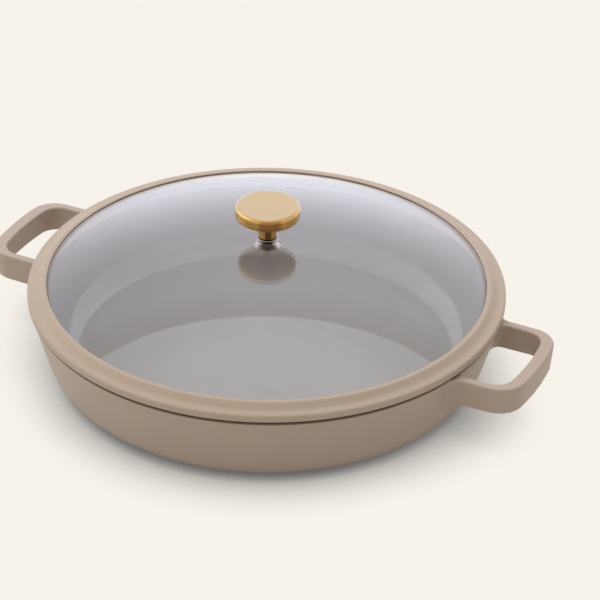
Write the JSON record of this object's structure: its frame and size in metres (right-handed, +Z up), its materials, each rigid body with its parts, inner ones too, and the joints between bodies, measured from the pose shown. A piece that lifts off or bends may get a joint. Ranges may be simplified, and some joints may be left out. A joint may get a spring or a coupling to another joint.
{
  "type": "lidded pan with loop handles",
  "caption": "Wide shallow coated pan with loop handles, a grey cooking surface and a domed glass lid with a silicone rim and a brass knob.",
  "frame": {"origin": "centre of the base, on the plane that the pan stands on", "axes": "+X along the line through the two handles, +Z up through the knob"},
  "size_m": [0.387, 0.3128, 0.1195],
  "materials": {
    "coated_casting": "matte",
    "cooking_surface": "satin",
    "lid_glass": "polished",
    "rim_silicone": "matte",
    "satin_brass": "satin",
    "clear_silicone": "satin",
    "fixing_steel": "satin"
  },
  "bodies": {
    "pan": {"pan_body": "coated_casting", "ceramic_lining": "cooking_surface", "handle_left": "coated_casting", "handle_right": "coated_casting"},
    "lid": {"lid_glass": "lid_glass", "lid_rim": "rim_silicone", "knob_head": "satin_brass", "knob_stem": "satin_brass", "knob_bush": "clear_silicone", "knob_pad": "clear_silicone", "knob_washer": "fixing_steel", "knob_screw": "fixing_steel"}
  },
  "joints": [
    {"name": "lid_lift", "type": "slide", "parent": "pan", "child": "lid", "axis": [0, 0, 1], "range_m": [0, 0.15]}
  ]
}
